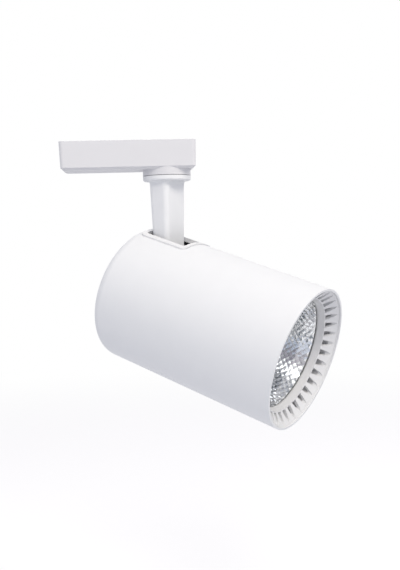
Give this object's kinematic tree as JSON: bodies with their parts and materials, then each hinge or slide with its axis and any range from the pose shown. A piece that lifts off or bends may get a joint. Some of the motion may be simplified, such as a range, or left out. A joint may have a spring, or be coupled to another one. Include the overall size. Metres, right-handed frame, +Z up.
{
  "type": "track spotlight",
  "caption": "White cylindrical track spotlight: box adapter, swivel neck, tilting can with vented bezel and faceted reflector.",
  "frame": {"origin": "on the pan axis, at the adapter's top face, which lies against the track", "axes": "+Z up, out of the adapter into the track; X along the adapter, its short end towards +X; the lamp is stored as in the picture, turned 37 degrees from +X towards -Y and 17.5 degrees nose down"},
  "size_m": [0.185, 0.1556, 0.1907],
  "materials": {
    "white_paint": "matt white powder coat",
    "white_plastic": "fine matt white",
    "light_plastic": "matt off-white",
    "nylon": "natural nylon",
    "steel": "zinc plated",
    "copper": "bright copper alloy",
    "aluminium": "cast, bare",
    "reflector_metal": "vacuum metallised facets",
    "glass": "clear, polished",
    "silicone": "translucent silicone",
    "pad_grey": "grey thermal pad",
    "phosphor": "yellow phosphor gel",
    "board_white": "white solder mask",
    "board_green": "green solder mask",
    "black_plastic": "matt black",
    "wire_brown": "wire sleeve",
    "wire_red": "wire sleeve",
    "rubber_black": "black rubber"
  },
  "bodies": {
    "adapter": {"adapter_housing": "white_plastic", "adapter_cover": "white_plastic", "cover_screws": "steel", "terminal_block": "light_plastic", "terminal_screws": "steel", "adapter_wires": "wire_brown", "swivel_bush": "nylon"},
    "contact_carriage": {"contact_head": "white_plastic", "contact_blades": "copper", "thumb_slide": "white_plastic"},
    "key": {"lock_key": "steel"},
    "arm": {"swivel_shaft": "steel", "stop_washer": "steel", "wave_washer": "steel", "swivel_nut": "steel", "friction_ring": "nylon", "neck": "white_paint", "neck_wires": "wire_brown", "wire_grommet": "rubber_black", "tilt_screws": "steel", "tilt_friction_washers": "nylon", "tilt_spring_washers": "steel"},
    "lamp": {"lamp_shell": "white_paint", "slot_trim": "white_plastic", "tilt_bracket": "steel", "bracket_screws": "steel", "heat_sink": "aluminium", "heat_sink_screws": "steel", "thermal_pad": "pad_grey", "led_board": "board_white", "led_phosphor": "phosphor", "led_holder": "light_plastic", "holder_screws": "steel", "reflector": "reflector_metal", "lens_gasket": "silicone", "lens_glass": "glass", "retaining_ring": "light_plastic", "bezel": "white_plastic", "bezel_clips": "steel", "driver_case": "black_plastic", "driver_lid": "black_plastic", "driver_board": "board_green", "driver_transformer": "rubber_black", "driver_capacitors": "black_plastic", "driver_screws": "steel", "mains_wires": "wire_brown", "led_wires": "wire_red"}
  },
  "joints": [
    {"name": "pan", "type": "hinge", "parent": "adapter", "child": "arm", "pos_m": [0, 0, 0], "axis": [0, 0, 1], "range_deg": [-128, 202]},
    {"name": "tilt", "type": "hinge", "parent": "arm", "child": "lamp", "pos_m": [0, 0, -0.0831], "axis": [0.6018, 0.7986, 0], "range_deg": [-43.5, 2]},
    {"name": "contact_rise", "type": "slide", "parent": "adapter", "child": "contact_carriage", "axis": [0, 0, 1], "range_m": [0, 0.009]},
    {"name": "key_turn", "type": "hinge", "parent": "contact_carriage", "child": "key", "pos_m": [-0.036, 0, 0], "axis": [0, 0, 1], "range_deg": [0, 90]}
  ],
  "couplings": [
    {"joint": "key_turn", "follows": "contact_rise", "rad_per_m": 174.53}
  ]
}
